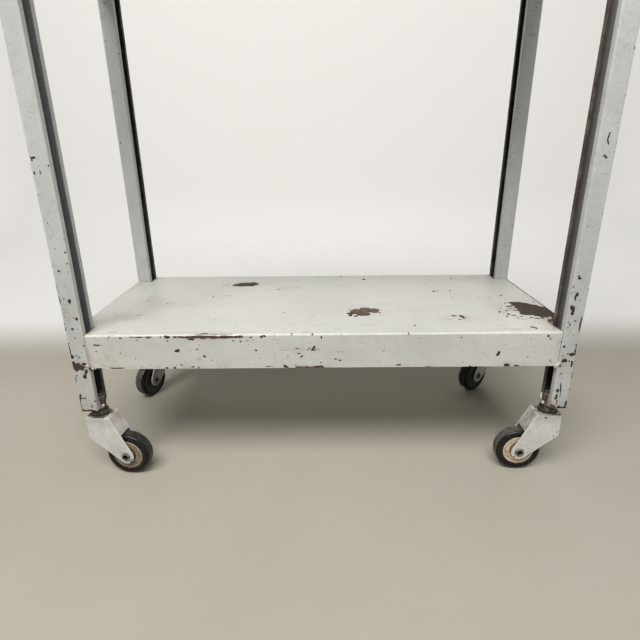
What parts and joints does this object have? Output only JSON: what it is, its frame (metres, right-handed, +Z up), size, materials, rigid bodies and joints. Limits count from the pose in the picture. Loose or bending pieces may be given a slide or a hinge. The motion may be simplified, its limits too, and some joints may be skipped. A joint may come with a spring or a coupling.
{
  "type": "instrument cart",
  "caption": "Wheeled sheet-steel cart with flat shelves on channel-section corner legs and swivelling casters, in old chipped grey enamel.",
  "frame": {"origin": "on the floor, under the middle of the whole outline at rest", "axes": "+X to the right along the shelves seen from the front, +Y from the front to the back, +Z up"},
  "size_m": [0.8233, 0.3606, 0.864],
  "materials": {
    "shelf_enamel": "old semi-gloss warm grey enamel, chipped to brown steel",
    "leg_enamel": "old semi-gloss grey enamel, chipped to dark steel",
    "fork_enamel": "pale grey enamel, worn at the edges",
    "socket_steel": "worn and stained plate over steel",
    "worn_steel": "dull worn steel",
    "greasy_steel": "dark greasy steel",
    "hub_plastic": "faded cream moulded hub",
    "tyre_rubber": "worn black rubber"
  },
  "bodies": {
    "root": {"lower_shelf": "shelf_enamel", "upper_shelf": "shelf_enamel", "leg_front_left": "leg_enamel", "stem_socket_front_left": "socket_steel", "caster_stem_front_left": "worn_steel", "top_race_front_left": "greasy_steel", "leg_front_right": "leg_enamel", "stem_socket_front_right": "socket_steel", "caster_stem_front_right": "worn_steel", "top_race_front_right": "greasy_steel", "leg_rear_left": "leg_enamel", "stem_socket_rear_left": "socket_steel", "caster_stem_rear_left": "worn_steel", "top_race_rear_left": "greasy_steel", "leg_rear_right": "leg_enamel", "stem_socket_rear_right": "socket_steel", "caster_stem_rear_right": "worn_steel", "top_race_rear_right": "greasy_steel"},
    "swivel_front_left": {"fork_front_left": "fork_enamel", "crown_race_front_left": "greasy_steel", "ball_ring_front_left": "greasy_steel", "lower_washer_front_left": "worn_steel", "axle_rivet_front_left": "worn_steel", "axle_bush_front_left": "worn_steel"},
    "wheel_front_left": {"wheel_hub_front_left": "hub_plastic", "tyre_front_left": "tyre_rubber"},
    "swivel_front_right": {"fork_front_right": "fork_enamel", "crown_race_front_right": "greasy_steel", "ball_ring_front_right": "greasy_steel", "lower_washer_front_right": "worn_steel", "axle_rivet_front_right": "worn_steel", "axle_bush_front_right": "worn_steel"},
    "wheel_front_right": {"wheel_hub_front_right": "hub_plastic", "tyre_front_right": "tyre_rubber"},
    "swivel_rear_left": {"fork_rear_left": "fork_enamel", "crown_race_rear_left": "greasy_steel", "ball_ring_rear_left": "greasy_steel", "lower_washer_rear_left": "worn_steel", "axle_rivet_rear_left": "worn_steel", "axle_bush_rear_left": "worn_steel"},
    "wheel_rear_left": {"wheel_hub_rear_left": "hub_plastic", "tyre_rear_left": "tyre_rubber"},
    "swivel_rear_right": {"fork_rear_right": "fork_enamel", "crown_race_rear_right": "greasy_steel", "ball_ring_rear_right": "greasy_steel", "lower_washer_rear_right": "worn_steel", "axle_rivet_rear_right": "worn_steel", "axle_bush_rear_right": "worn_steel"},
    "wheel_rear_right": {"wheel_hub_rear_right": "hub_plastic", "tyre_rear_right": "tyre_rubber"}
  },
  "joints": [
    {"name": "swivel_front_left", "type": "hinge", "parent": "root", "child": "swivel_front_left", "pos_m": [-0.3696, -0.156, 0.1125], "axis": [0, 0, 1], "continuous": true},
    {"name": "roll_front_left", "type": "hinge", "parent": "swivel_front_left", "child": "wheel_front_left", "pos_m": [-0.32762, -0.16123, 0.0381], "axis": [0.1236, 0.9923, 0], "continuous": true},
    {"name": "swivel_front_right", "type": "hinge", "parent": "root", "child": "swivel_front_right", "pos_m": [0.3884, -0.156, 0.1125], "axis": [0, 0, 1], "continuous": true},
    {"name": "roll_front_right", "type": "hinge", "parent": "swivel_front_right", "child": "wheel_front_right", "pos_m": [0.34611, -0.15497, 0.0381], "axis": [-0.0244, -0.9997, 0], "continuous": true},
    {"name": "swivel_rear_left", "type": "hinge", "parent": "root", "child": "swivel_rear_left", "pos_m": [-0.3696, 0.156, 0.1125], "axis": [0, 0, 1], "continuous": true},
    {"name": "roll_rear_left", "type": "hinge", "parent": "swivel_rear_left", "child": "wheel_rear_left", "pos_m": [-0.38687, 0.11739, 0.0381], "axis": [0.9128, -0.4083, 0], "continuous": true},
    {"name": "swivel_rear_right", "type": "hinge", "parent": "root", "child": "swivel_rear_right", "pos_m": [0.3884, 0.156, 0.1125], "axis": [0, 0, 1], "continuous": true},
    {"name": "roll_rear_right", "type": "hinge", "parent": "swivel_rear_right", "child": "wheel_rear_right", "pos_m": [0.35427, 0.13102, 0.0381], "axis": [0.5906, -0.807, 0], "continuous": true}
  ]
}
